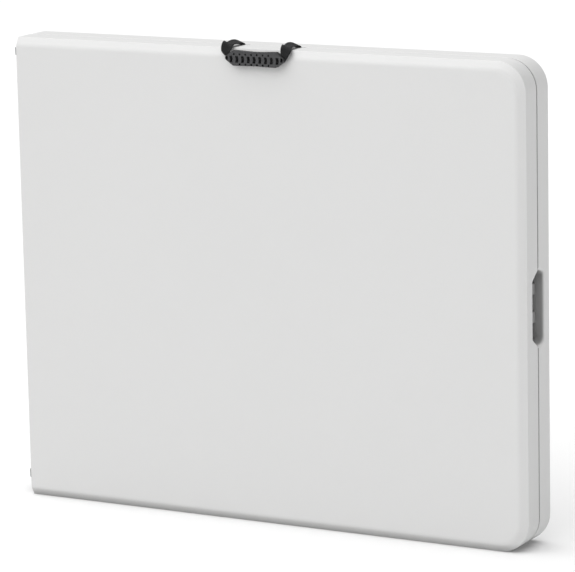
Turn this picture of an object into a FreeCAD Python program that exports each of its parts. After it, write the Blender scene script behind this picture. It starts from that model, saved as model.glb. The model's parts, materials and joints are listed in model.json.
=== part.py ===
import FreeCAD, Part
import math
import os
from FreeCAD import Vector

# A fold-in-half banquet table, closed like a suitcase and standing on one long edge.
#
# The table is drawn in hinge coordinates and moved to its own frame when it is written:
#   x  along the table, 0 on the hinge axis, half_length at the free ends
#   y  through the closed table, 0 on the seam between the halves, negative in the front half
#   z  up, 0 on the surface that the long edge stands on
# Each half is drawn once as the back half, so its y is the depth below the seam, and the
# front half is its mirror image with its own leg spacing.

# Table top halves (millimetres)
half_length = 900.0
table_width = 760.0
half_depth = 47.0
seam_gap = 3.6
hinge_end_gap = 1.0
plate = 18.0
corner_r = 48.0
bevel_wide = 13.0
bevel_deep = 7.5
bevel_soft_r = 14.0
side_soft_r = 1.2
seam_soft_r = {"front": 1.0, "back": 1.5}
rim_side = 15.0
rim_free_end = 24.0
rim_hinge_end = 15.0
cavity_corner_r = 26.0

# Finger recess in the middle of the free end
recess_z0 = 318.0
recess_z1 = 438.0
recess_deep = 21.0
recess_into_end = 15.0
recess_ramp = {"front": 15.0, "back": 8.0}
recess_corner_r = 6.0
recess_soft_r = {"front": 1.0, "back": 4.5}
vent_long = 27.0
vent_deep = 20.0
vent_pitch = 44.0
vent_mid_z = 382.0

# Dimples in the underside, where the two skins of the moulding meet
dimple_r = 13.0
dimple_foot_r = 8.0
dimple_deep = 11.0
dimple_pitch = 61.6
dimple_columns = 13
dimple_rows = 11
dimple_first_x = 62.0
dimple_clear = 24.0

# Steel rails along both long sides, U-channels that open towards the seam
rail_from_edge = 27.5
rail_inner_half = 5.5
rail_wall = 1.8
rail_mouth_y = 2.0
rail_start_x = 28.5
rail_end_x = 862.0
rail_screws = 5
rail_screw_r = 2.2

# Centre hinges on the rail ends: two ears in front, one tongue behind
ear_r = 27.0
ear_thick = 3.0
tongue_half = 1.5
washer_thick = 0.9
hinge_pin_r = 5.0
running_gap = 0.05
hinge_head_r = 8.0
hinge_head_thick = 2.4
hinge_notch_half = 9.0
tail_end_x = 82.0
rivet_r = 2.5
rivet_xs = (44.0, 68.0)

# Leg frames
leg_pivot_x = 790.0
leg_y = 14.25
leg_lane = {"front": 310.0, "back": 275.0}
outer_leg_r = 12.7
outer_leg_bore_r = 11.5
outer_leg_end = 390.0
inner_leg_r = 11.0
inner_leg_wall = 1.5
inner_leg_start = 120.0
foot_tip = 500.0
foot_r = 13.0
foot_sleeve = 24.0
leg_travel = 205.0
height_settings = 4
button_at = 158.0
button_r = 3.5
pivot_bar_r = 11.0
pivot_bar_half = 338.0
stub_r = 5.0
stub_end_half = 362.5
cross_bar_at = 300.0
cross_bar_r = 9.5
tube_wall = 1.5
weld_gap = 0.1
clip_at = 210.0
clip_wide = 16.0

# Prop strut between each leg frame and its half
strut_long = 386.0
strut_rod_r = 7.0
strut_tip_r = 4.0
strut_tip_half = 22.0
strut_tip_lift = 8.0
sleeve_r = 12.4
sleeve_half = 20.0

# Carry handle and its two webbing straps
handle_x = 446.5
handle_z = 746.5
grip_long = 110.0
grip_shoulder = 38.0
grip_mid_high = 20.5
grip_end_high = 24.5
grip_thick = 9.0
grip_proud = 3.0
grip_edge_r = 1.2
window_count = 9
window_pitch = 10.2
window_wide = 6.0
window_high = 10.5
window_drop = 1.8
window_slant = 1.0
upper_hole_rise = 6.2
lower_hole_drop = 9.4
end_slot_from = 46.5
end_slot_to = 50.5
end_slot_inner_half = 4.5
end_slot_outer_half = 2.2
upper_holes = 7
lower_holes = 6
grip_hole_r = 1.7
strap_wide = 20.0
strap_thick = 1.6
strap_xs = (397.0, 497.0)
strap_clear = 0.4
strap_axis_y = -1.5
strap_axis_z = 761.0

# Places that follow from the sizes above
mid_z = table_width / 2
rim_y = seam_gap / 2
hinge_end_x = hinge_end_gap / 2
floor_y = half_depth - plate
rail_zs = (rail_from_edge, table_width - rail_from_edge)
rail_outer_half = rail_inner_half + rail_wall
box_x = (half_length - ear_r) / 2
box_y = -(grip_proud + grip_thick) / 2
ALONG_X = Vector(1, 0, 0)
ALONG_Y = Vector(0, 1, 0)
ALONG_Z = Vector(0, 0, 1)


# ---------------------------------------------------------------- drawing helpers

def rounded_wire(points, radii):
    """Closed wire through the points, with each corner rounded by its own radius."""
    edges = []
    last = None
    first = None
    count = len(points)
    for i, corner in enumerate(points):
        before = (points[i - 1] - corner).normalize()
        after = (points[(i + 1) % count] - corner).normalize()
        if radii[i] == 0:
            start = end = corner
            arc = None
        else:
            half_turn = before.getAngle(after) / 2
            run = radii[i] / math.tan(half_turn)
            start = corner + before * run
            end = corner + after * run
            middle = (before + after).normalize()
            centre = corner + middle * (radii[i] / math.sin(half_turn))
            arc = Part.Arc(start, centre - middle * radii[i], end).toShape()
        if last is not None and (last - start).Length > 1e-6:
            edges.append(Part.LineSegment(last, start).toShape())
        if arc is not None:
            edges.append(arc)
        if first is None:
            first = start
        last = end
    if (last - first).Length > 1e-6:
        edges.append(Part.LineSegment(last, first).toShape())
    return Part.Wire(edges)


def prism(points, radii, move):
    """Solid swept by a rounded outline that moves in a straight line."""
    return Part.Face(rounded_wire(points, radii)).extrude(move)


def block(x0, x1, y0, y1, z0, z1):
    return Part.makeBox(x1 - x0, y1 - y0, z1 - z0, Vector(x0, y0, z0))


def rod(radius, start, end):
    return Part.makeCylinder(radius, (end - start).Length, start, end - start)


def tube(radius, bore, start, end):
    return rod(radius, start, end).cut(rod(bore, start, end))


def fuse(shapes):
    body = shapes[0].multiFuse(shapes[1:]) if len(shapes) > 1 else shapes[0]
    return body.removeSplitter()


def group(shapes):
    return Part.Compound(shapes)


def plan(x0, x1, z0, z1, radius, y, hinge_radius=0.0):
    """Outline of a half seen through its top: rounded corners at the free end."""
    points = [Vector(x0, y, z0), Vector(x1, y, z0), Vector(x1, y, z1), Vector(x0, y, z1)]
    return points, [hinge_radius, radius, radius, hinge_radius]


def at(x, y, z):
    return Vector(x, y, z)


# ---------------------------------------------------------------- the two moulded halves

def bevelled_block(side):
    """Outer form of a half: square at the hinge end, bevelled along its other three sides."""
    shoulder_y = half_depth - bevel_deep
    points, radii = plan(hinge_end_x, half_length, 0, table_width, corner_r, rim_y)
    body = prism(points, radii, Vector(0, shoulder_y - rim_y, 0))
    low = rounded_wire(*plan(
        hinge_end_x, half_length, 0, table_width, corner_r, shoulder_y))
    high = rounded_wire(*plan(
        hinge_end_x, half_length - bevel_wide, bevel_wide, table_width - bevel_wide,
        corner_r - bevel_wide, half_depth))
    body = fuse([body, Part.makeLoft([low, high], True, True)])
    face_edges = [e for e in body.Edges if on_outline(e, half_depth)]
    body = body.makeFillet(bevel_soft_r, face_edges)
    side_edges = [e for e in body.Edges if on_outline(e, shoulder_y)]
    body = body.makeFillet(side_soft_r, side_edges)
    seam_edges = [e for e in body.Edges if on_outline(e, rim_y)]
    return body.makeFillet(seam_soft_r[side], seam_edges)


def on_outline(edge, y):
    """True for an edge that lies at depth y and isn't part of the hinge end."""
    box = edge.BoundBox
    return abs(box.YMin - y) < 1e-3 and abs(box.YMax - y) < 1e-3 and box.XMax > hinge_end_x + 1


def scoop_outline(x, grow, ramp):
    lip = 2.0
    points = [
        Vector(x, -lip, recess_z0 - lip - grow),
        Vector(x, recess_deep + grow, recess_z0 + ramp - grow),
        Vector(x, recess_deep + grow, recess_z1 - ramp + grow),
        Vector(x, -lip, recess_z1 + lip + grow)]
    return rounded_wire(points, [0, recess_corner_r, recess_corner_r, 0])


def finger_scoop(side):
    """Scoop in the middle of the free end, with sloping ends and a rounded outer edge."""
    soft_r = recess_soft_r[side]
    ramp = recess_ramp[side]
    x0 = half_length - recess_into_end
    x1 = half_length - soft_r
    body = Part.Face(scoop_outline(x0, 0, ramp)).extrude(Vector(x1 - x0, 0, 0))
    rings = []
    steps = 4
    for i in range(steps + 1):
        turn = math.pi / 2 * i / steps
        grow = soft_r * (1 - math.cos(turn))
        rings.append(scoop_outline(x1 + soft_r * math.sin(turn), grow, ramp))
    past = Part.Face(scoop_outline(half_length, soft_r, ramp)).extrude(Vector(1, 0, 0))
    return fuse([body, Part.makeLoft(rings, True, False), past])


def recess_vents():
    """Slots from the finger recess through its inner wall."""
    vents = []
    low = recess_z0 + recess_ramp["back"]
    high = recess_z1 - recess_ramp["back"]
    for step in (-1, 0, 1):
        z = vent_mid_z + step * vent_pitch
        vents.append(block(
            half_length - rim_free_end - 1, half_length - recess_into_end + 1, 0, vent_deep,
            max(z - vent_long / 2, low), min(z + vent_long / 2, high)))
    return vents


def fixing_spots(side):
    """Where a clip or the saddle is screwed to the underside."""
    spots = [at(leg_pivot_x - clip_at, floor_y, z) for z in leg_zs(side)]
    return spots + saddle_screw_spots()


def dimples(side):
    """Grid of round dimples, left out where something is screwed on."""
    cones = []
    first_z = mid_z - dimple_pitch * (dimple_rows - 1) / 2
    for column in range(dimple_columns):
        for row in range(dimple_rows):
            spot = at(
                dimple_first_x + column * dimple_pitch, floor_y,
                first_z + row * dimple_pitch)
            near = [fixing for fixing in fixing_spots(side)
                    if math.hypot(fixing.x - spot.x, fixing.z - spot.z) < dimple_clear]
            if not near:
                start = spot - ALONG_Y
                cones.append(Part.makeCone(
                    dimple_r, dimple_foot_r, dimple_deep + 1, start, ALONG_Y))
    return cones


def panel(side):
    body = bevelled_block(side).cut(finger_scoop(side))
    points, radii = plan(
        rim_hinge_end, half_length - rim_free_end, rim_side, table_width - rim_side,
        cavity_corner_r, 0, hinge_radius=6.0)
    cutters = [prism(points, radii, Vector(0, floor_y, 0))]
    cutters += recess_vents()
    cutters += dimples(side)
    for z in rail_zs:
        cutters.append(block(0, rim_hinge_end + 1, 0, floor_y, z - hinge_notch_half, z + hinge_notch_half))
        cutters += [screw_shank(x, z) for x in rail_screw_xs()]
    for z in leg_zs(side):
        cutters.append(clip_screw_shank(z))
    cutters += saddle_screw_shanks()
    if side == "front":
        cutters += strap_slots()
        cutters += anchor_rivet_shanks()
    return body.cut(Part.makeCompound(cutters))


# ---------------------------------------------------------------- rails and their screws

def rail_screw_xs():
    first = rail_start_x + 76
    last = rail_end_x - 28
    step = (last - first) / (rail_screws - 1)
    return [first + i * step for i in range(rail_screws)]


def screw_shank(x, z):
    return rod(rail_screw_r, at(x, floor_y - rail_wall - 1, z), at(x, floor_y + 12, z))


def rail(z):
    body = block(
        rail_start_x, rail_end_x, rail_mouth_y, floor_y,
        z - rail_outer_half, z + rail_outer_half)
    hollow = block(
        rail_start_x - 1, rail_end_x + 1, rail_mouth_y - 1, floor_y - rail_wall,
        z - rail_inner_half, z + rail_inner_half)
    cutters = [hollow]
    cutters += [screw_shank(x, z) for x in rail_screw_xs()]
    cutters += [rivet_shank(x, z) for x in rivet_xs]
    cutters.append(rod(
        stub_r + running_gap, at(leg_pivot_x, leg_y, z - 20), at(leg_pivot_x, leg_y, z + 20)))
    return body.cut(Part.makeCompound(cutters))


def rail_screw_set():
    """Pan-head screws that hold both rails to the moulding."""
    screws = []
    for z in rail_zs:
        for x in rail_screw_xs():
            seat = at(x, floor_y - rail_wall, z)
            head = rod(rail_screw_r + 2.4, seat - ALONG_Y * 2.2, seat)
            drive = rod(1.4, seat - ALONG_Y * 2.2, seat - ALONG_Y * 1.0)
            shank = rod(rail_screw_r, seat, at(x, floor_y + 12, z))
            screws.append(head.fuse(shank).cut(drive).removeSplitter())
    return group(screws)


# ---------------------------------------------------------------- centre hinges

def leaf(z0, z1):
    """Round hinge leaf with a tail that lies inside its rail."""
    disc = rod(ear_r, at(0, 0, z0), at(0, 0, z1))
    tail = prism(
        [at(0, 3.2, z0), at(tail_end_x, 3.2, z0), at(tail_end_x, 26.0, z0), at(0, 26.0, z0)],
        [0, 6, 6, 0], Vector(0, 0, z1 - z0))
    return fuse([disc, tail])


def rivet_shank(x, z):
    half = rail_outer_half
    return rod(rivet_r, at(x, 14.6, z - half), at(x, 14.6, z + half))


def hinge_forks():
    """Pair of ears at the end of each front rail."""
    ears = []
    for z in rail_zs:
        for sign in (-1, 1):
            inner = z + sign * (rail_inner_half - ear_thick)
            outer = z + sign * rail_inner_half
            ear = leaf(min(inner, outer), max(inner, outer))
            ear = ear.cut(rod(hinge_pin_r, at(0, 0, z - 20), at(0, 0, z + 20)))
            for x in rivet_xs:
                ear = ear.cut(rivet_shank(x, z))
            ears.append(ear)
    return group(ears)


def hinge_tongues():
    """Single leaf at the end of each back rail, thickened where the rail holds it."""
    tongues = []
    for z in rail_zs:
        blade = leaf(z - tongue_half, z + tongue_half)
        root = block(
            ear_r + 5, tail_end_x - 6, 5.0, 24.0, z - rail_inner_half, z + rail_inner_half)
        tongue = fuse([blade, root])
        tongue = tongue.cut(rod(hinge_pin_r + running_gap, at(0, 0, z - 20), at(0, 0, z + 20)))
        for x in rivet_xs:
            tongue = tongue.cut(rivet_shank(x, z))
        tongues.append(tongue)
    return group(tongues)


def hinge_pins():
    pins = []
    for z in rail_zs:
        half = rail_inner_half
        shank = rod(hinge_pin_r, at(0, 0, z - half), at(0, 0, z + half))
        low = rod(hinge_head_r, at(0, 0, z - half - hinge_head_thick), at(0, 0, z - half))
        high = rod(hinge_head_r, at(0, 0, z + half), at(0, 0, z + half + hinge_head_thick))
        pins.append(fuse([shank, low, high]))
    return group(pins)


def hinge_washers():
    washers = []
    for z in rail_zs:
        for sign in (-1, 1):
            middle = z + sign * (tongue_half + rail_inner_half - ear_thick) / 2
            start = at(0, 0, middle - washer_thick / 2)
            end = at(0, 0, middle + washer_thick / 2)
            washers.append(tube(ear_r * 0.5, hinge_pin_r + running_gap, start, end))
    return group(washers)


def hinge_rivets():
    """Rivets that hold the hinge leaves in their rails."""
    rivets = []
    for z in rail_zs:
        for x in rivet_xs:
            low = at(x, 14.6, z - rail_outer_half)
            high = at(x, 14.6, z + rail_outer_half)
            heads = [
                rod(rivet_r * 1.8, low - ALONG_Z * 1.6, low),
                rod(rivet_r * 1.8, high, high + ALONG_Z * 1.6)]
            rivets.append(fuse([rivet_shank(x, z)] + heads))
    return group(rivets)


# ---------------------------------------------------------------- leg frames

def leg_zs(side):
    return (mid_z - leg_lane[side], mid_z + leg_lane[side])


def leg_point(s, z):
    """Point at distance s from the leg pivot, along the folded leg."""
    return at(leg_pivot_x - s, leg_y, z)


def setting_places():
    """Distances from the pivot of the button holes, one for each table height."""
    step = leg_travel / (height_settings - 1)
    return [button_at + i * step for i in range(height_settings)]


def pivot_bar():
    """Cross tube that the leg frame turns on, with a stub at each end."""
    low = at(leg_pivot_x, leg_y, mid_z - pivot_bar_half)
    high = at(leg_pivot_x, leg_y, mid_z + pivot_bar_half)
    plug = 6.0
    bar = rod(pivot_bar_r, low, high)
    stubs = [
        rod(stub_r, at(leg_pivot_x, leg_y, mid_z - stub_end_half), low),
        rod(stub_r, high, at(leg_pivot_x, leg_y, mid_z + stub_end_half))]
    hollow = rod(pivot_bar_r - tube_wall, low + ALONG_Z * plug, high - ALONG_Z * plug)
    return fuse([bar] + stubs).cut(hollow)


def pivot_spacers():
    spacers = []
    for sign in (-1, 1):
        inner = mid_z + sign * (pivot_bar_half + 0.4)
        outer = mid_z + sign * (mid_z - rail_from_edge - rail_outer_half)
        start = at(leg_pivot_x, leg_y, min(inner, outer))
        end = at(leg_pivot_x, leg_y, max(inner, outer))
        spacers.append(tube(9.0, stub_r + running_gap, start, end))
    return group(spacers)


def outer_leg(z):
    body = tube(outer_leg_r, outer_leg_bore_r, leg_point(0, z), leg_point(outer_leg_end, z))
    bar = rod(pivot_bar_r + weld_gap, at(leg_pivot_x, leg_y, z - 20), at(leg_pivot_x, leg_y, z + 20))
    cutters = [bar]
    for s in setting_places():
        hole = leg_point(s, z)
        cutters.append(rod(button_r + 0.3, hole, hole - ALONG_Y * 20))
    return body.cut(Part.makeCompound(cutters))


def leg_bushes(side):
    """Plastic collars in the mouths of the outer legs."""
    bushes = []
    for z in leg_zs(side):
        bushes.append(tube(
            outer_leg_r + 0.2, inner_leg_r + 0.3,
            leg_point(outer_leg_end, z), leg_point(outer_leg_end + 9, z)))
    return group(bushes)


def cross_bar(side):
    low, high = leg_zs(side)
    body = tube(
        cross_bar_r, cross_bar_r - tube_wall,
        leg_point(cross_bar_at, low), leg_point(cross_bar_at, high))
    for z in (low, high):
        body = body.cut(rod(outer_leg_r + weld_gap, leg_point(0, z), leg_point(600, z)))
    return max(body.Solids, key=lambda solid: solid.Volume)


def inner_leg(z):
    end = foot_tip - 4
    body = tube(
        inner_leg_r, inner_leg_r - inner_leg_wall,
        leg_point(inner_leg_start, z), leg_point(end, z))
    hole = leg_point(button_at, z)
    return body.cut(rod(button_r + 0.15, hole, hole - ALONG_Y * 20))


def foot_caps(side):
    caps = []
    for z in leg_zs(side):
        cap = rod(foot_r, leg_point(foot_tip - foot_sleeve, z), leg_point(foot_tip, z))
        rim = [e for e in cap.Edges if abs(e.BoundBox.XMax - (leg_pivot_x - foot_tip)) < 1e-6]
        cap = cap.makeFillet(2.5, rim[:1])
        caps.append(cap.cut(rod(inner_leg_r, leg_point(0, z), leg_point(foot_tip - 4, z))))
    return group(caps)


def snap_button(z):
    """Height-setting button, drawn pressed in, flush with the inner leg."""
    hole = leg_point(button_at, z)
    return rod(button_r, hole - ALONG_Y * (inner_leg_r - 0.1), hole - ALONG_Y * 3)


def button_springs(side):
    """Folded leaf springs behind the buttons, inside the inner legs."""
    springs = []
    for z in leg_zs(side):
        x = leg_pivot_x - button_at
        strip = 0.8
        back = block(x - 22, x + 6, leg_y + 5, leg_y + 5 + strip, z - 3, z + 3)
        bend = block(x - 22 - strip, x - 22, leg_y - 1, leg_y + 5 + strip, z - 3, z + 3)
        front = block(x - 22, x - 5, leg_y - 1, leg_y - 1 + strip, z - 3, z + 3)
        springs.append(fuse([back, bend, front]))
    return group(springs)


# ---------------------------------------------------------------- struts

def strut_arm():
    """Rod with a cross tip, folded towards the centre hinge."""
    start = leg_point(cross_bar_at + cross_bar_r + 1.0, mid_z)
    tip = leg_point(cross_bar_at + strut_long, mid_z)
    arm = rod(strut_rod_r, start, tip + ALONG_X * 3)
    sleeve_hole = rod(
        sleeve_r, leg_point(cross_bar_at, mid_z - 60), leg_point(cross_bar_at, mid_z + 60))
    cross = rod(strut_tip_r, tip - ALONG_Z * strut_tip_half, tip + ALONG_Z * strut_tip_half)
    return fuse([arm.cut(sleeve_hole), cross])


def strut_sleeve():
    """Collar that lets the strut swing on the cross bar."""
    return tube(
        sleeve_r, cross_bar_r + running_gap,
        leg_point(cross_bar_at, mid_z - sleeve_half), leg_point(cross_bar_at, mid_z + sleeve_half))


def strut_seat():
    """Depth and distance from the hinge of the strut's tip when the leg stands out."""
    tip_y = floor_y - strut_tip_lift
    rise = tip_y - (leg_y - cross_bar_at)
    tip_x = leg_pivot_x - math.sqrt(strut_long ** 2 - rise ** 2)
    return tip_x, tip_y


def strut_saddle():
    """Bracket that the strut's tip drops into: a low cheek before it, a high one behind."""
    x, _ = strut_seat()
    gap = strut_tip_r + 0.5
    base_y = floor_y - 3.0
    low_y = floor_y - 4.7
    high_y = floor_y - 13.0
    cheeks = []
    for z0 in (mid_z - 20, mid_z + 10):
        outline = [
            at(x - 12, floor_y, z0), at(x - 12, base_y, z0), at(x - gap - 3, low_y, z0),
            at(x - gap, low_y, z0), at(x - gap, base_y, z0), at(x + gap, base_y, z0),
            at(x + gap, high_y, z0), at(x + gap + 4, high_y, z0), at(x + 14, floor_y, z0)]
        cheeks.append(prism(outline, [0] * len(outline), Vector(0, 0, 10)))
    foot = block(x - 12, x + 30, floor_y - 2, floor_y, mid_z - 20, mid_z + 20)
    body = fuse(cheeks + [foot])
    return body.cut(Part.makeCompound(saddle_screw_shanks()))


def saddle_screw_spots():
    x, _ = strut_seat()
    return [at(x + 23, floor_y - 2, mid_z + offset) for offset in (-13, 13)]


def saddle_screw_shanks():
    return [rod(1.9, spot - ALONG_Y, spot + ALONG_Y * 13) for spot in saddle_screw_spots()]


def saddle_screws():
    screws = []
    for spot in saddle_screw_spots():
        shank = rod(1.9, spot, spot + ALONG_Y * 13)
        head = rod(3.8, spot - ALONG_Y * 1.8, spot)
        screws.append(fuse([shank, head]))
    return group(screws)


# ---------------------------------------------------------------- leg clips

def clip_screw_shank(z):
    spot = at(leg_pivot_x - clip_at, floor_y - 1.5, z)
    return rod(1.9, spot - ALONG_Y * 0.1, spot + ALONG_Y * 11)


def leg_clips(side):
    """Open cradles that the folded legs lie in."""
    clips = []
    for z in leg_zs(side):
        x0 = leg_pivot_x - clip_at - clip_wide / 2
        body = block(x0, x0 + clip_wide, leg_y, floor_y, z - 15.6, z + 15.6)
        body = body.cut(rod(outer_leg_r + 0.4, leg_point(0, z), leg_point(600, z)))
        body = body.cut(clip_screw_shank(z))
        clips.append(body)
    return group(clips)


def clip_screws(side):
    screws = []
    for z in leg_zs(side):
        spot = at(leg_pivot_x - clip_at, floor_y - 1.5, z)
        screws.append(rod(1.9, spot, spot + ALONG_Y * 11))
    return group(screws)


# ---------------------------------------------------------------- carry handle

def strap_slots():
    """Shallow slots in the front rim that the straps leave the seam through."""
    slots = []
    for x in strap_xs:
        slots.append(block(
            x - strap_wide / 2 - 0.8, x + strap_wide / 2 + 0.8, 0, 2.6,
            table_width - rim_side - 1, table_width + 1))
    return slots


def strap_anchor_z():
    return table_width - rim_side


def strap_roots():
    """Sewn strap ends: down through the slot, then along the inside of the rim."""
    roots = []
    top = strap_anchor_z()
    for x in strap_xs:
        x0 = x - strap_wide / 2
        x1 = x + strap_wide / 2
        down = block(x0, x1, 0.7, 0.7 + strap_thick, top - strap_thick, table_width)
        along = block(x0, x1, 0.7, 22, top - strap_thick, top)
        root = fuse([down, along])
        roots.append(root.cut(anchor_rivet_shank(x)))
    return group(roots)


def anchor_rivet_shank(x):
    top = strap_anchor_z()
    return rod(1.8, at(x, 13, top - strap_thick - 1.5), at(x, 13, top + 8))


def anchor_rivet_shanks():
    return [anchor_rivet_shank(x) for x in strap_xs]


def strap_anchor_plates():
    plates = []
    top = strap_anchor_z() - strap_thick
    for x in strap_xs:
        plate_body = block(x - 9, x + 9, 5, 21, top - 1.5, top)
        plates.append(plate_body.cut(anchor_rivet_shank(x)))
    return group(plates)


def strap_anchor_rivets():
    rivets = []
    for x in strap_xs:
        low = strap_anchor_z() - strap_thick - 1.5
        head = rod(3.4, at(x, 13, low - 1.2), at(x, 13, low))
        rivets.append(fuse([head, anchor_rivet_shank(x)]))
    return group(rivets)


def strap_route():
    """Side view of a strap: up from the seam, over the front edge, down to the grip."""
    hang_y = -(half_depth + grip_proud + grip_thick / 2)
    return [
        (strap_axis_y, strap_axis_z), (strap_axis_y - 8.0, strap_axis_z + 7.5),
        (-half_depth + 5.0, strap_axis_z + 8.5), (hang_y, strap_axis_z + 1.5),
        (hang_y, handle_z - 2.0)]


def strap(x):
    """Webbing strap as one flat band, ending along the sloping end of the grip."""
    route = strap_route()
    bend = 3.0
    outer = []
    inner = []
    count = len(route)
    for i, (y, z) in enumerate(route):
        before = route[max(i - 1, 0)]
        after = route[min(i + 1, count - 1)]
        run = Vector(0, after[0] - before[0], after[1] - before[1]).normalize()
        across = Vector(0, -run.z, run.y) * (strap_thick / 2)
        middle = at(x - strap_wide / 2, y, z)
        outer.append(middle + across)
        inner.append(middle - across)
    outline = outer + inner[::-1]
    radii = [0] + [bend] * (count - 2) + [0, 0] + [bend] * (count - 2) + [0]
    band = prism(outline, radii, Vector(strap_wide, 0, 0))
    points, radii = grip_outline(strap_clear)
    return band.cut(prism(points, radii, Vector(0, -(half_depth + grip_thick), 0)))


def grip_outline(grow=0.0):
    """Front view of the grip: a long hexagon with a waist; each corner has its own radius."""
    half = grip_long / 2 + grow
    mid_half = grip_mid_high / 2 + grow
    end_half = grip_end_high / 2 + grow
    spots = [
        (-half, 0, 4.0), (-grip_shoulder, -end_half, 5.0), (0, -end_half + 0.8, 300.0),
        (grip_shoulder, -end_half, 5.0), (half, 0, 4.0), (grip_shoulder, end_half, 5.0),
        (0, mid_half, 220.0), (-grip_shoulder, end_half, 5.0)]
    y = 0 if grow else -(half_depth + grip_proud)
    points = [at(handle_x + x, y, handle_z + z) for x, z, _ in spots]
    return points, [radius for _, _, radius in spots]


def grip():
    """Moulded grip: a row of windows, round holes above and below, a strap slot at each end."""
    points, radii = grip_outline()
    body = prism(points, radii, Vector(0, -grip_thick, 0))
    front_y = points[0].y - grip_thick
    rims = [e for e in body.Edges if e.BoundBox.YMax - e.BoundBox.YMin < 1e-6]
    body = body.makeFillet(grip_edge_r, rims)
    cutters = []

    def pierce(radius, x, z):
        cutters.append(rod(radius, at(x, front_y - 1, z), at(x, front_y + grip_thick + 1, z)))

    for i in range(window_count):
        x = handle_x + (i - (window_count - 1) / 2) * window_pitch
        half_w = window_wide / 2
        half_h = window_high / 2
        z = handle_z - window_drop
        outline = [
            at(x - half_w, front_y - 1, z - half_h),
            at(x + half_w - window_slant, front_y - 1, z - half_h),
            at(x + half_w, front_y - 1, z),
            at(x + half_w - window_slant, front_y - 1, z + half_h),
            at(x - half_w, front_y - 1, z + half_h),
            at(x - half_w + window_slant, front_y - 1, z)]
        cutters.append(prism(outline, [0.8, 0.8, 1, 0.8, 0.8, 1], Vector(0, grip_thick + 2, 0)))
    for i in range(upper_holes):
        step = i - (upper_holes - 1) / 2 - 0.5
        pierce(grip_hole_r, handle_x + step * window_pitch, handle_z + upper_hole_rise)
    for i in range(lower_holes):
        step = i - (lower_holes - 1) / 2
        pierce(grip_hole_r, handle_x + step * window_pitch, handle_z - lower_hole_drop)
    for sign in (-1, 1):
        inner_x = handle_x + sign * end_slot_from
        outer_x = handle_x + sign * end_slot_to
        slot = [
            at(inner_x, front_y - 1, handle_z - end_slot_inner_half),
            at(outer_x, front_y - 1, handle_z - end_slot_outer_half),
            at(outer_x, front_y - 1, handle_z + end_slot_outer_half),
            at(inner_x, front_y - 1, handle_z + end_slot_inner_half)]
        cutters.append(prism(slot, [1.2] * 4, Vector(0, grip_thick + 2, 0)))
    return body.cut(Part.makeCompound(cutters))


# ---------------------------------------------------------------- assembly

def half_nodes(side):
    """Every node of one half, drawn at positive y."""
    nodes = {
        "panel": panel(side),
        "rail_lower": rail(rail_zs[0]),
        "rail_upper": rail(rail_zs[1]),
        "rail_screws": rail_screw_set(),
        "hinge_rivets": hinge_rivets(),
        "pivot_spacers": pivot_spacers(),
        "pivot_bar": pivot_bar(),
        "outer_leg_lower": outer_leg(leg_zs(side)[0]),
        "outer_leg_upper": outer_leg(leg_zs(side)[1]),
        "leg_bushes": leg_bushes(side),
        "cross_bar": cross_bar(side),
        "inner_leg_lower": inner_leg(leg_zs(side)[0]),
        "inner_leg_upper": inner_leg(leg_zs(side)[1]),
        "foot_caps": foot_caps(side),
        "button_springs": button_springs(side),
        "button_lower": snap_button(leg_zs(side)[0]),
        "button_upper": snap_button(leg_zs(side)[1]),
        "strut_arm": strut_arm(),
        "strut_sleeve": strut_sleeve(),
        "strut_saddle": strut_saddle(),
        "saddle_screws": saddle_screws(),
        "leg_clips": leg_clips(side),
        "clip_screws": clip_screws(side),
    }
    if side == "front":
        nodes["hinge_forks"] = hinge_forks()
        nodes["hinge_pins"] = hinge_pins()
        nodes["hinge_washers"] = hinge_washers()
        nodes["strap_roots"] = strap_roots()
        nodes["strap_anchor_plates"] = strap_anchor_plates()
        nodes["strap_anchor_rivets"] = strap_anchor_rivets()
    else:
        nodes["hinge_tongues"] = hinge_tongues()
    return nodes


def all_nodes():
    seam_plane = (Vector(0, 0, 0), Vector(0, 1, 0))
    nodes = {}
    for name, shape in half_nodes("front").items():
        nodes["front_" + name] = shape.mirror(*seam_plane)
    for name, shape in half_nodes("back").items():
        nodes["back_" + name] = shape
    nodes["strap_left"] = strap(strap_xs[0])
    nodes["strap_right"] = strap(strap_xs[1])
    nodes["carry_grip"] = grip()
    return nodes


os.makedirs("parts", exist_ok=True)
for name, shape in all_nodes().items():
    shape.translate(Vector(-box_x, -box_y, 0))
    shape.exportStep("parts/" + name + ".step")
    sound = shape.isValid() and all(solid.isClosed() for solid in shape.Solids)
    print(name, len(shape.Solids), round(shape.Volume), "ok" if sound else "BAD")
print("hinge axis at", -box_x, -box_y, "strut seat", strut_seat())
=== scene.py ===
import json
import math

import bmesh
import bpy
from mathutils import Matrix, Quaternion, Vector


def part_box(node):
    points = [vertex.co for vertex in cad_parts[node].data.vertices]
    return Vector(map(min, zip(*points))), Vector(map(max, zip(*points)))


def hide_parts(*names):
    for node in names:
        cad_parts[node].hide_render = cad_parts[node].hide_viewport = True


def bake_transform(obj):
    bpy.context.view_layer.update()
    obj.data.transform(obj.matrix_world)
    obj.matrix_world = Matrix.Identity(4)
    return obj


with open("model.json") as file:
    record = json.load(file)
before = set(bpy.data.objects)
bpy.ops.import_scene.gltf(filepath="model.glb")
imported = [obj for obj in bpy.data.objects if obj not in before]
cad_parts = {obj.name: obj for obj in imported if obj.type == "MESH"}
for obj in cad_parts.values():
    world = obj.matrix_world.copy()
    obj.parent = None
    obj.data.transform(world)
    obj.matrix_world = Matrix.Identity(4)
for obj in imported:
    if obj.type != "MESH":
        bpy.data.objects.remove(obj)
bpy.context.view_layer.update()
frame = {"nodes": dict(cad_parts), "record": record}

MM = 0.001

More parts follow.
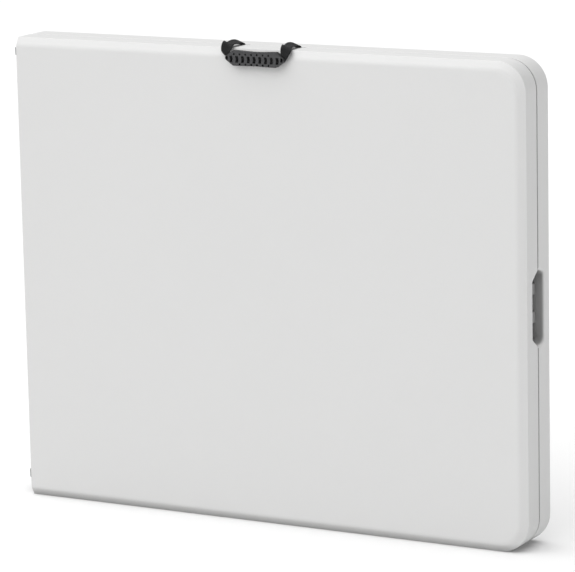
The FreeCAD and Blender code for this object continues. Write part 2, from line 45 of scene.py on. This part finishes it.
# Places on the closed table, all from the CAD frame (metres)
FRONT_LOW, FRONT_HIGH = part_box("front_panel")
BACK_LOW, BACK_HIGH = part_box("back_panel")
SEAM_Y = (FRONT_HIGH.y + BACK_LOW.y) / 2
TOP_Z = FRONT_HIGH.z
TABLE_CENTRE = (FRONT_LOW + BACK_HIGH) / 2


# ---------------------------------------------------------------- node helpers

# Sockets of the Mix node that carry colours
MIX_COLOUR_A = 6
MIX_COLOUR_B = 7
MIX_COLOUR_OUT = 2

# How open a spot is, from 1 on a plain surface down to 0: where the painted shade in grooves and
# recesses starts and is full
OPEN_ENOUGH = 0.84
FULLY_HIDDEN = 0.30


class Nodes:
    """Short names for building one material's node tree."""

    def __init__(self, name):
        self.material = bpy.data.materials.new(name)
        self.material.use_nodes = True
        self.tree = self.material.node_tree
        self.shader = self.tree.nodes["Principled BSDF"]

    def add(self, kind, **settings):
        node = self.tree.nodes.new(kind)
        for key, value in settings.items():
            setattr(node, key, value)
        return node

    def link(self, source, target):
        self.tree.links.new(source, target)

    def place(self, scale=(1, 1, 1), kind="Object"):
        coords = self.add("ShaderNodeTexCoord")
        mapping = self.add("ShaderNodeMapping")
        mapping.inputs["Scale"].default_value = scale
        self.link(coords.outputs[kind], mapping.inputs["Vector"])
        return mapping.outputs["Vector"]

    def noise(self, vector, scale, detail=4.0, rough=0.55, distort=0.0):
        node = self.add("ShaderNodeTexNoise")
        node.inputs["Scale"].default_value = scale
        node.inputs["Detail"].default_value = detail
        node.inputs["Roughness"].default_value = rough
        node.inputs["Distortion"].default_value = distort
        self.link(vector, node.inputs["Vector"])
        return node.outputs["Fac"]

    def wave(self, vector, scale, direction):
        node = self.add("ShaderNodeTexWave", bands_direction=direction, wave_profile="SIN")
        node.inputs["Scale"].default_value = scale
        self.link(vector, node.inputs["Vector"])
        return node.outputs["Fac"]

    def ramp(self, value, stops):
        """Colour ramp of two stops, each a position and a colour."""
        node = self.add("ShaderNodeValToRGB")
        for element, (position, colour) in zip(node.color_ramp.elements, stops):
            element.position = position
            element.color = (*colour, 1)
        self.link(value, node.inputs["Fac"])
        return node.outputs["Color"]

    def mix(self, factor, first, second):
        node = self.add("ShaderNodeMix", data_type="RGBA", blend_type="MIX")
        self.feed(node.inputs["Factor"], factor)
        self.feed(node.inputs[MIX_COLOUR_A], first)
        self.feed(node.inputs[MIX_COLOUR_B], second)
        return node.outputs[MIX_COLOUR_OUT]

    def maths(self, kind, first, second=0.0):
        node = self.add("ShaderNodeMath", operation=kind)
        self.feed(node.inputs[0], first)
        self.feed(node.inputs[1], second)
        return node.outputs[0]

    def feed(self, socket, value):
        if isinstance(value, bpy.types.NodeSocket):
            self.link(value, socket)
        elif isinstance(value, tuple) and len(value) == 3:
            socket.default_value = (*value, 1)
        else:
            socket.default_value = value

    def span(self, value, low, high):
        """Maps a 0 to 1 value to low..high."""
        node = self.add("ShaderNodeMapRange")
        node.inputs["To Min"].default_value = low
        node.inputs["To Max"].default_value = high
        self.link(value, node.inputs["Value"])
        return node.outputs["Result"]

    def edges(self, spread=0.02):
        """1 on worn outer corners, 0 elsewhere, from the mesh's own pointiness."""
        geometry = self.add("ShaderNodeNewGeometry")
        node = self.add("ShaderNodeMapRange")
        node.inputs["From Min"].default_value = 0.5 + spread / 2
        node.inputs["From Max"].default_value = 0.5 + spread * 2
        self.link(geometry.outputs["Pointiness"], node.inputs["Value"])
        return node.outputs["Result"]

    def painted_shade_in_hollows(self, reach):
        """Mask for painted shade, from ambient occlusion: 1 deep in grooves and recesses, 0 on open
        surfaces.
        """
        node = self.add("ShaderNodeAmbientOcclusion", samples=12)
        node.inputs["Distance"].default_value = reach
        spread = self.add("ShaderNodeMapRange")
        spread.inputs["From Min"].default_value = OPEN_ENOUGH
        spread.inputs["From Max"].default_value = FULLY_HIDDEN
        self.link(node.outputs["AO"], spread.inputs["Value"])
        return spread.outputs["Result"]

    def inside(self, low, high, soft):
        """1 inside the box low..high of object coordinates, fading to 0 over soft outside it."""
        coords = self.add("ShaderNodeTexCoord")
        split = self.add("ShaderNodeSeparateXYZ")
        self.link(coords.outputs["Object"], split.inputs["Vector"])
        mask = 1.0
        for axis in range(3):
            middle = (low[axis] + high[axis]) / 2
            half = (high[axis] - low[axis]) / 2
            away = self.maths("ABSOLUTE", self.maths("SUBTRACT", split.outputs[axis], middle))
            fade = self.add("ShaderNodeMapRange")
            fade.inputs["From Min"].default_value = half + soft
            fade.inputs["From Max"].default_value = half
            self.link(away, fade.inputs["Value"])
            mask = self.maths("MULTIPLY", fade.outputs["Result"], mask)
        return mask

    def bump(self, height, distance, strength=1.0, under=None):
        node = self.add("ShaderNodeBump")
        node.inputs["Distance"].default_value = distance
        node.inputs["Strength"].default_value = strength
        self.link(height, node.inputs["Height"])
        if under is not None:
            self.link(under, node.inputs["Normal"])
        return node.outputs["Normal"]

    def finish(self, colour, roughness, normal, metallic=0.0, **extra):
        self.feed(self.shader.inputs["Base Color"], colour)
        self.feed(self.shader.inputs["Roughness"], roughness)
        self.link(normal, self.shader.inputs["Normal"])
        self.shader.inputs["Metallic"].default_value = metallic
        for name, value in extra.items():
            self.shader.inputs[name.replace("_", " ")].default_value = value
        return self.material


# ---------------------------------------------------------------- materials

# Painted shade in grooves and recesses: how far the occlusion reaches, and how much it darkens
HOLLOW_SHADE_REACH = 20 * MM
HOLLOW_SHADE_SHARE = 0.60
# Painted shade on the finger recess's walls fades out over this distance
RECESS_SHADE_FADE = 3.2 * MM
# How far the recess's walls reach past its stated opening, at its low and high corners
RECESS_LOW_MARGIN = Vector((9.5, 6, 26)) * MM
RECESS_HIGH_MARGIN = Vector((0, 5.5, 16)) * MM
RECESS_SHORT_OF_END = 3.5 * MM


def recess_shade_box():
    """Box for the painted shade on the recess's own walls, up to just inside the free end's face."""
    openings = {entry["name"]: entry["box_m"] for entry in frame["record"]["physics"]["openings"]}
    low, high = openings["finger_recess"]
    top = Vector(high) + RECESS_HIGH_MARGIN
    top.x = BACK_HIGH.x - RECESS_SHORT_OF_END
    return Vector(low) - RECESS_LOW_MARGIN, top


def moulded_polyethylene():
    """Near-white blow-moulded polyethylene: fine pebble grain, faint flow bands, light scuffs.

    It has painted shade in grooves and recesses, and darker painted shade on the finger recess's
    walls."""
    n = Nodes("moulded_polyethylene")
    place = n.place()
    cloud = n.noise(place, 3.2, detail=3)
    speck = n.noise(place, 190, detail=2)
    base = n.mix(n.span(cloud, 0.2, 0.8), (0.665, 0.665, 0.662), (0.698, 0.698, 0.695))
    base = n.mix(n.span(speck, 0.0, 0.10), base, (0.60, 0.60, 0.596))
    streak = n.noise(n.place((1.5, 1.5, 38)), 9, detail=6, rough=0.7, distort=0.6)
    scuff = n.ramp(streak, [(0.66, (0, 0, 0)), (0.74, (1, 1, 1))])
    base = n.mix(n.maths("MULTIPLY", scuff, 0.05), base, (0.62, 0.62, 0.61))
    # Painted shade: darker colour in grooves, recesses and on faces close to the floor, by ambient
    # occlusion
    hollow_shade = n.maths("MULTIPLY", n.painted_shade_in_hollows(HOLLOW_SHADE_REACH), HOLLOW_SHADE_SHARE)
    base = n.mix(hollow_shade, base, (0.20, 0.20, 0.197))
    # Painted shade: the finger recess's walls darkened further, mottled by the cloud noise
    recess = n.inside(*recess_shade_box(), RECESS_SHADE_FADE)
    recess = n.maths("MULTIPLY", recess, n.span(cloud, 0.46, 0.68))
    base = n.mix(recess, base, (0.10, 0.10, 0.098))
    grain = n.noise(place, 1150, detail=2, rough=0.5)
    orange = n.noise(place, 420, detail=2, rough=0.45)
    flow = n.noise(place, 5.5, detail=1)
    uneven = n.maths("ADD", n.maths("MULTIPLY", orange, 0.6), n.maths("MULTIPLY", cloud, 0.4))
    rough = n.span(uneven, 0.40, 0.60)
    normal = n.bump(flow, 0.0016, 0.35)
    normal = n.bump(orange, 0.00018, 0.6, normal)
    normal = n.bump(grain, 0.00006, 0.6, normal)
    return n.finish(base, rough, normal, IOR=1.5)


def powder_coat():
    """Grey powder coat on steel: slight hammer texture, chipped lighter on its corners."""
    n = Nodes("powder_coat")
    place = n.place()
    cloud = n.noise(place, 16, detail=4)
    chips = n.maths("MULTIPLY", n.edges(0.03), n.span(n.noise(place, 260, detail=4), -0.7, 1.3))
    base = n.mix(n.span(cloud, 0.1, 0.9), (0.150, 0.152, 0.157), (0.185, 0.188, 0.192))
    base = n.mix(chips, base, (0.42, 0.42, 0.43))
    pebble = n.noise(place, 900, detail=3)
    rough = n.span(cloud, 0.34, 0.50)
    normal = n.bump(pebble, 0.00012, 0.7)
    return n.finish(base, rough, normal, IOR=1.5)


def zinc_plate():
    """Bright zinc with faint yellow passivation and fine scratches."""
    n = Nodes("zinc_plate")
    place = n.place()
    tint = n.noise(place, 60, detail=3)
    scratch = n.noise(n.place((40, 40, 900)), 4, detail=5, rough=0.7)
    base = n.mix(tint, (0.60, 0.60, 0.58), (0.70, 0.69, 0.66))
    rough = n.span(scratch, 0.24, 0.46)
    normal = n.bump(scratch, 0.00004, 0.6)
    return n.finish(base, rough, normal, metallic=1.0)


def spring_steel():
    """Dark spring steel, drawn along its length."""
    n = Nodes("spring_steel")
    place = n.place()
    tint = n.noise(place, 90, detail=3)
    grainy = n.noise(n.place((900, 60, 60)), 3, detail=5)
    base = n.mix(tint, (0.16, 0.17, 0.20), (0.27, 0.26, 0.25))
    return n.finish(base, n.span(grainy, 0.25, 0.42), n.bump(grainy, 0.00003, 0.5), metallic=1.0)


def black_nylon():
    """Moulded black plastic for bushes, feet and clips, rubbed grey on its corners."""
    n = Nodes("black_nylon")
    place = n.place()
    cloud = n.noise(place, 40, detail=4)
    base = n.mix(cloud, (0.016, 0.016, 0.017), (0.030, 0.030, 0.031))
    base = n.mix(n.maths("MULTIPLY", n.edges(0.04), 0.5), base, (0.09, 0.09, 0.09))
    grain = n.noise(place, 1400, detail=2)
    return n.finish(base, n.span(cloud, 0.42, 0.62), n.bump(grain, 0.00008, 0.8), IOR=1.48)


def grip_plastic():
    """Dark grey moulded grip: leather-like grain, lighter on its corners."""
    n = Nodes("grip_plastic")
    place = n.place()
    cloud = n.noise(place, 55, detail=4)
    cells = n.add("ShaderNodeTexVoronoi", feature="DISTANCE_TO_EDGE")
    cells.inputs["Scale"].default_value = 900
    n.link(place, cells.inputs["Vector"])
    base = n.mix(cloud, (0.015, 0.015, 0.016), (0.026, 0.026, 0.028))
    base = n.mix(n.maths("MULTIPLY", n.edges(0.05), 0.45), base, (0.075, 0.075, 0.079))
    creases = n.span(cells.outputs["Distance"], 0.0, 1.0)
    normal = n.bump(creases, 0.00022, 0.7)
    return n.finish(base, n.span(cloud, 0.40, 0.58), normal, IOR=1.49)


# Wave scales over one strap width of UV: crosswise picks and lengthwise ribs
PICK_SCALE = 5.2
RIB_SCALE = 3.9


def webbing():
    """Black polypropylene webbing: crosswise picks and lengthwise ribs, from the strap's own UVs."""
    n = Nodes("webbing")
    along = n.place((1, 1, 1), kind="UV")
    picks = n.wave(along, PICK_SCALE, "X")
    ribs = n.wave(along, RIB_SCALE, "Y")
    weave = n.maths("ADD", n.maths("MULTIPLY", picks, 0.55), n.maths("MULTIPLY", ribs, 0.45))
    fuzz = n.noise(n.place(), 1300, detail=3)
    wear = n.noise(n.place(), 70, detail=4)
    base = n.mix(weave, (0.0015, 0.0015, 0.002), (0.016, 0.016, 0.017))
    base = n.mix(n.maths("MULTIPLY", wear, 0.35), base, (0.018, 0.018, 0.019))
    normal = n.bump(weave, 0.00035, 0.9)
    normal = n.bump(fuzz, 0.0001, 0.5, normal)
    return n.finish(base, n.span(fuzz, 0.62, 0.88), normal, Sheen_Weight=0.05, Sheen_Roughness=0.5,
                    Specular_IOR_Level=0.25)


def paint_frame():
    """Gives every CAD node the material of its record slot."""
    made = {
        "moulded_top": moulded_polyethylene(), "powder_coat": powder_coat(),
        "zinc_steel": zinc_plate(), "spring_steel": spring_steel(),
        "black_plastic": black_nylon(), "grip_plastic": grip_plastic(), "webbing": webbing()}
    for part in frame["record"]["subparts"]:
        node = frame["nodes"][part["node"]]
        node.data.materials.clear()
        node.data.materials.append(made[part["material_slot"]])
    return made


# ---------------------------------------------------------------- webbing straps

STRAP_WIDE = 20 * MM
STRAP_THICK = 1.5 * MM
# The band thins towards its two edges: from this share of its half width, by this much
RIM_START = 0.82
RIM_THINNING = 0.55


def smooth_path(stations, steps):
    """Catmull-Rom through stations of equal-length number lists."""
    rows = []
    count = len(stations)
    for i in range(count - 1):
        a, b, c, d = (stations[max(i - 1, 0)], stations[i], stations[i + 1],
                      stations[min(i + 2, count - 1)])
        for step in range(steps):
            t = step / steps
            rows.append([
                0.5 * (2 * q + (r - p) * t + (2 * p - 5 * q + 4 * r - s) * t * t
                       + (3 * q - p - 3 * r + s) * t ** 3)
                for p, q, r, s in zip(a, b, c, d)])
    rows.append(list(stations[-1]))
    return rows


def ribbon(name, stations, steps=14, across=10):
    """Flat band along stations of (x, y, z, roll degrees, share of full width).

    The roll turns the band about its own run, away from having its width along X."""
    rows = smooth_path(stations, steps)
    mesh = bpy.data.meshes.new(name)
    bm = bmesh.new()
    uv_layer = bm.loops.layers.uv.new("along")
    sections = []
    length = 0.0
    for i, row in enumerate(rows):
        here = Vector(row[:3])
        run = Vector(rows[min(i + 1, len(rows) - 1)][:3]) - Vector(rows[max(i - 1, 0)][:3])
        run.normalize()
        side = Vector((1, 0, 0))
        side = (side - run * side.dot(run)).normalized()
        side = Quaternion(run, math.radians(row[3])) @ side
        up = side.cross(run)
        if i:
            length += (here - Vector(rows[i - 1][:3])).length
        half = STRAP_WIDE * row[4] / 2
        ring = []
        for k in range(across * 2):
            lower = k >= across
            step = (2 * across - 1 - k) if lower else k
            share = step / (across - 1) * 2 - 1
            rim = 1 - RIM_THINNING * max(0.0, abs(share) - RIM_START) / (1 - RIM_START)
            offset = side * (share * half) + up * (STRAP_THICK / 2 * rim * (-1 if lower else 1))
            ring.append((bm.verts.new(here + offset), share * half, length))
        sections.append(ring)
    around = across * 2
    for first, second in zip(sections, sections[1:]):
        for k in range(around):
            corners = [first[k], first[(k + 1) % around], second[(k + 1) % around], second[k]]
            face = bm.faces.new([corner[0] for corner in corners])
            face.smooth = True
            for loop, corner in zip(face.loops, corners):
                loop[uv_layer].uv = (corner[2] / STRAP_WIDE, corner[1] / STRAP_WIDE)
    for ring, flip in ((sections[0], True), (sections[-1], False)):
        verts = [entry[0] for entry in ring]
        bm.faces.new(verts[::-1] if flip else verts)
    bmesh.ops.recalc_face_normals(bm, faces=bm.faces)
    bm.to_mesh(mesh)
    bm.free()
    piece = bpy.data.objects.new(name, mesh)
    bpy.context.scene.collection.objects.link(piece)
    return piece


# Stations of each strap: x from its slot, y from the seam or the front face, z from the table's
# top edge (all mm), roll in degrees, share of the full width
FROM_SEAM = [
    (-3.5, -1.5, -6.0, 0, 0.60), (-3.4, -1.5, 0.2, -4, 0.60), (-3.4, -4.5, 3.9, -16, 0.62),
    (-3.8, -12.0, 6.0, -24, 0.68), (-4.3, -23.0, 6.6, -24, 0.72)]
FROM_FACE = {
    "left": [
        (-4.2, 9.5, 6.2, -12, 0.74), (-3.0, 1.0, 6.6, -34, 0.84), (-1.8, -5.0, 4.4, -36, 0.88),
        (-1.6, -8.6, -2.5, -12, 0.80), (-0.6, -8.2, -7.0, 0, 0.62), (0.6, -7.5, -9.6, 0, 0.50)],
    "right": [
        (-2.0, 9.5, 5.6, -12, 0.74), (0.8, 1.0, 5.6, -34, 0.84), (2.4, -5.0, 2.4, -36, 0.86),
        (1.4, -8.0, -5.5, -14, 0.66), (-0.8, -7.6, -11.5, -4, 0.50), (-2.2, -7.5, -14.5, 0, 0.46)]}


def straps(materials):
    """Both webbing straps: out of the seam, twisting over the front edge, down to the grip."""
    for side, places in FROM_FACE.items():
        low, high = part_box("strap_" + side)
        root_x = (low.x + high.x) / 2
        stations = [
            (root_x + x * MM, SEAM_Y + y * MM, TOP_Z + z * MM, roll, share)
            for x, y, z, roll, share in FROM_SEAM]
        stations += [
            (root_x + x * MM, FRONT_LOW.y + y * MM, TOP_Z + z * MM, roll, share)
            for x, y, z, roll, share in places]
        piece = ribbon("webbing_" + side, stations)
        piece.data.materials.append(materials["webbing"])
        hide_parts("strap_" + side)
        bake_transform(piece)


# ---------------------------------------------------------------- floor, light and camera

FLOOR_REACH = 60.0
FLOOR_GLOW = 0.08
WORLD_LIGHT = 0.32
OVERHEAD_POWER = 3.0
OVERHEAD_SPREAD = 100
OVERHEAD_TILT = (12, -13, 0)
SOFTBOX_POWER = 4
SOFTBOX_SIZE = (1.6, 1.2)
SOFTBOX_FROM_CENTRE = Vector((-0.25, -1.5, 1.7))
SOFTBOX_AIM_FROM_CENTRE = Vector((-0.05, 0, 0.25))
CAMERA_PLACE = (2.6454, -4.7328, 1.4572)
CAMERA_AZIMUTH = 28.909
CAMERA_ELEVATION = 11.264
CAMERA_ROLL = -1.179
CAMERA_LENS = 218.74


def studio_floor():
    """Pale matt floor that glows slightly, so that it stays near white."""
    mesh = bpy.data.meshes.new("studio_floor")
    reach = FLOOR_REACH
    mesh.from_pydata(
        [(-reach, -reach, 0), (reach, -reach, 0), (reach, reach, 0), (-reach, reach, 0)],
        [], [(0, 1, 2, 3)])
    floor = bpy.data.objects.new("studio_floor", mesh)
    bpy.context.scene.collection.objects.link(floor)
    n = Nodes("pale_floor")
    soft = n.noise(n.place(), 2.0, detail=2)
    colour = n.mix(soft, (0.80, 0.80, 0.80), (0.82, 0.82, 0.82))
    n.finish(colour, 0.9, n.bump(n.noise(n.place(), 300), 0.0002, 0.2))
    n.shader.inputs["Emission Color"].default_value = (1, 1, 1, 1)
    n.shader.inputs["Emission Strength"].default_value = FLOOR_GLOW
    mesh.materials.append(n.material)


def soft_light(name, place, aim, size, power):
    """Rectangular area light at place, turned towards aim."""
    data = bpy.data.lights.new(name, "AREA")
    data.shape = "RECTANGLE"
    data.size, data.size_y = size
    data.energy = power
    lamp = bpy.data.objects.new(name, data)
    lamp.location = place
    lamp.rotation_mode = "QUATERNION"
    lamp.rotation_quaternion = (Vector(aim) - Vector(place)).to_track_quat("-Z", "Y")
    bpy.context.scene.collection.objects.link(lamp)


def studio_light():
    """Even white surroundings, a very soft overhead light and a weak softbox in front."""
    world = bpy.data.worlds.new("studio")
    bpy.context.scene.world = world
    world.use_nodes = True
    background = world.node_tree.nodes["Background"]
    background.inputs["Color"].default_value = (1, 1, 1, 1)
    background.inputs["Strength"].default_value = WORLD_LIGHT
    sky = bpy.data.lights.new("overhead", "SUN")
    sky.energy = OVERHEAD_POWER
    sky.angle = math.radians(OVERHEAD_SPREAD)
    lamp = bpy.data.objects.new("overhead", sky)
    lamp.rotation_euler = [math.radians(angle) for angle in OVERHEAD_TILT]
    bpy.context.scene.collection.objects.link(lamp)
    soft_light("front_softbox", TABLE_CENTRE + SOFTBOX_FROM_CENTRE,
               TABLE_CENTRE + SOFTBOX_AIM_FROM_CENTRE, SOFTBOX_SIZE, SOFTBOX_POWER)


def photo_camera():
    """Camera on the view line of the closed table: right of the front face, a little above."""
    azimuth = math.radians(CAMERA_AZIMUTH)
    elevation = math.radians(CAMERA_ELEVATION)
    roll = math.radians(CAMERA_ROLL)
    forward = Vector((-math.sin(azimuth) * math.cos(elevation),
                      math.cos(azimuth) * math.cos(elevation), -math.sin(elevation)))
    data = bpy.data.cameras.new("photo_camera")
    data.lens = CAMERA_LENS
    data.sensor_width = 36
    data.clip_start = 0.1
    data.clip_end = 200
    camera = bpy.data.objects.new("photo_camera", data)
    camera.rotation_mode = "QUATERNION"
    camera.rotation_quaternion = forward.to_track_quat("-Z", "Y") @ Quaternion((0, 0, 1), roll)
    camera.location = CAMERA_PLACE
    bpy.context.scene.collection.objects.link(camera)
    bpy.context.scene.camera = camera


# ---------------------------------------------------------------- build

bpy.context.scene.view_settings.view_transform = "Standard"
MATERIALS = paint_frame()
straps(MATERIALS)
studio_floor()
studio_light()
photo_camera()
